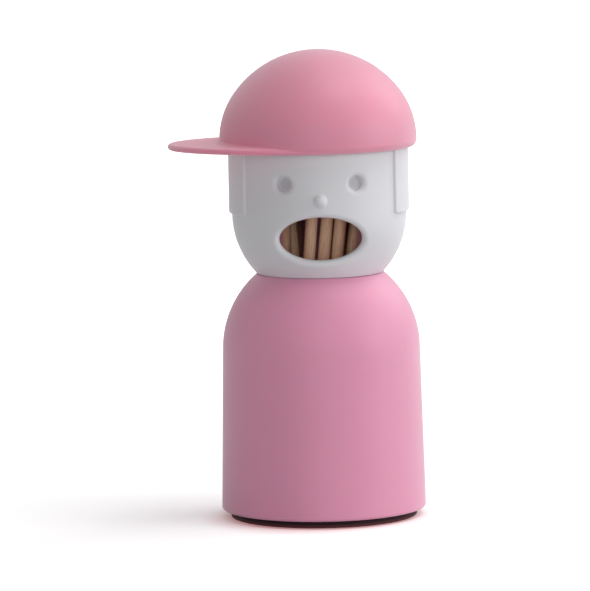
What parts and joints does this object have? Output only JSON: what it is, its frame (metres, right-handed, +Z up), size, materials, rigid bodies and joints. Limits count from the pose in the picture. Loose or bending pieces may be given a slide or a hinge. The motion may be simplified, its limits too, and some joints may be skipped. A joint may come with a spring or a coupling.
{
  "type": "toothpick dispenser",
  "caption": "Toothpick holder shaped as a small standing figure: domed cap with a side brim lifts off and turns, round picks stand in an inner cup and show through the open mouth.",
  "frame": {"origin": "centre of the underside, on the table", "axes": "+Z up along the axis of the figure, the face looks along -Y, the brim points along -X at rest"},
  "size_m": [0.0434, 0.0352, 0.0806],
  "materials": {
    "pink_plastic": "satin injection-moulded plastic, pink",
    "white_plastic": "satin injection-moulded plastic, white",
    "natural_plastic": "uncoloured moulded plastic",
    "dark_rubber": "matt non-slip pad, nearly black",
    "pick_wood": "turned birch, bare"
  },
  "bodies": {
    "figure": {"body_shell": "pink_plastic", "base_plate": "pink_plastic", "foot_pad": "dark_rubber", "pick_tube": "pink_plastic", "head_shell": "white_plastic"},
    "ring": {"cap_ring": "natural_plastic"},
    "cap": {"cap_shell": "pink_plastic"},
    "picks": {"toothpick_01": "pick_wood", "toothpick_02": "pick_wood", "toothpick_03": "pick_wood", "toothpick_04": "pick_wood", "toothpick_05": "pick_wood", "toothpick_06": "pick_wood", "toothpick_07": "pick_wood", "toothpick_08": "pick_wood", "toothpick_09": "pick_wood", "toothpick_10": "pick_wood", "toothpick_11": "pick_wood", "toothpick_12": "pick_wood", "toothpick_13": "pick_wood"}
  },
  "joints": [
    {"name": "cap_lift", "type": "slide", "parent": "figure", "child": "ring", "axis": [0, 0, 1], "range_m": [0, 0.06]},
    {"name": "cap_turn", "type": "hinge", "parent": "ring", "child": "cap", "pos_m": [0, 0, 0.06605], "axis": [0, 0, 1], "continuous": true},
    {"name": "picks_play", "type": "slide", "parent": "figure", "child": "picks", "axis": [0, 0, 1], "range_m": [0, 0.003]}
  ]
}
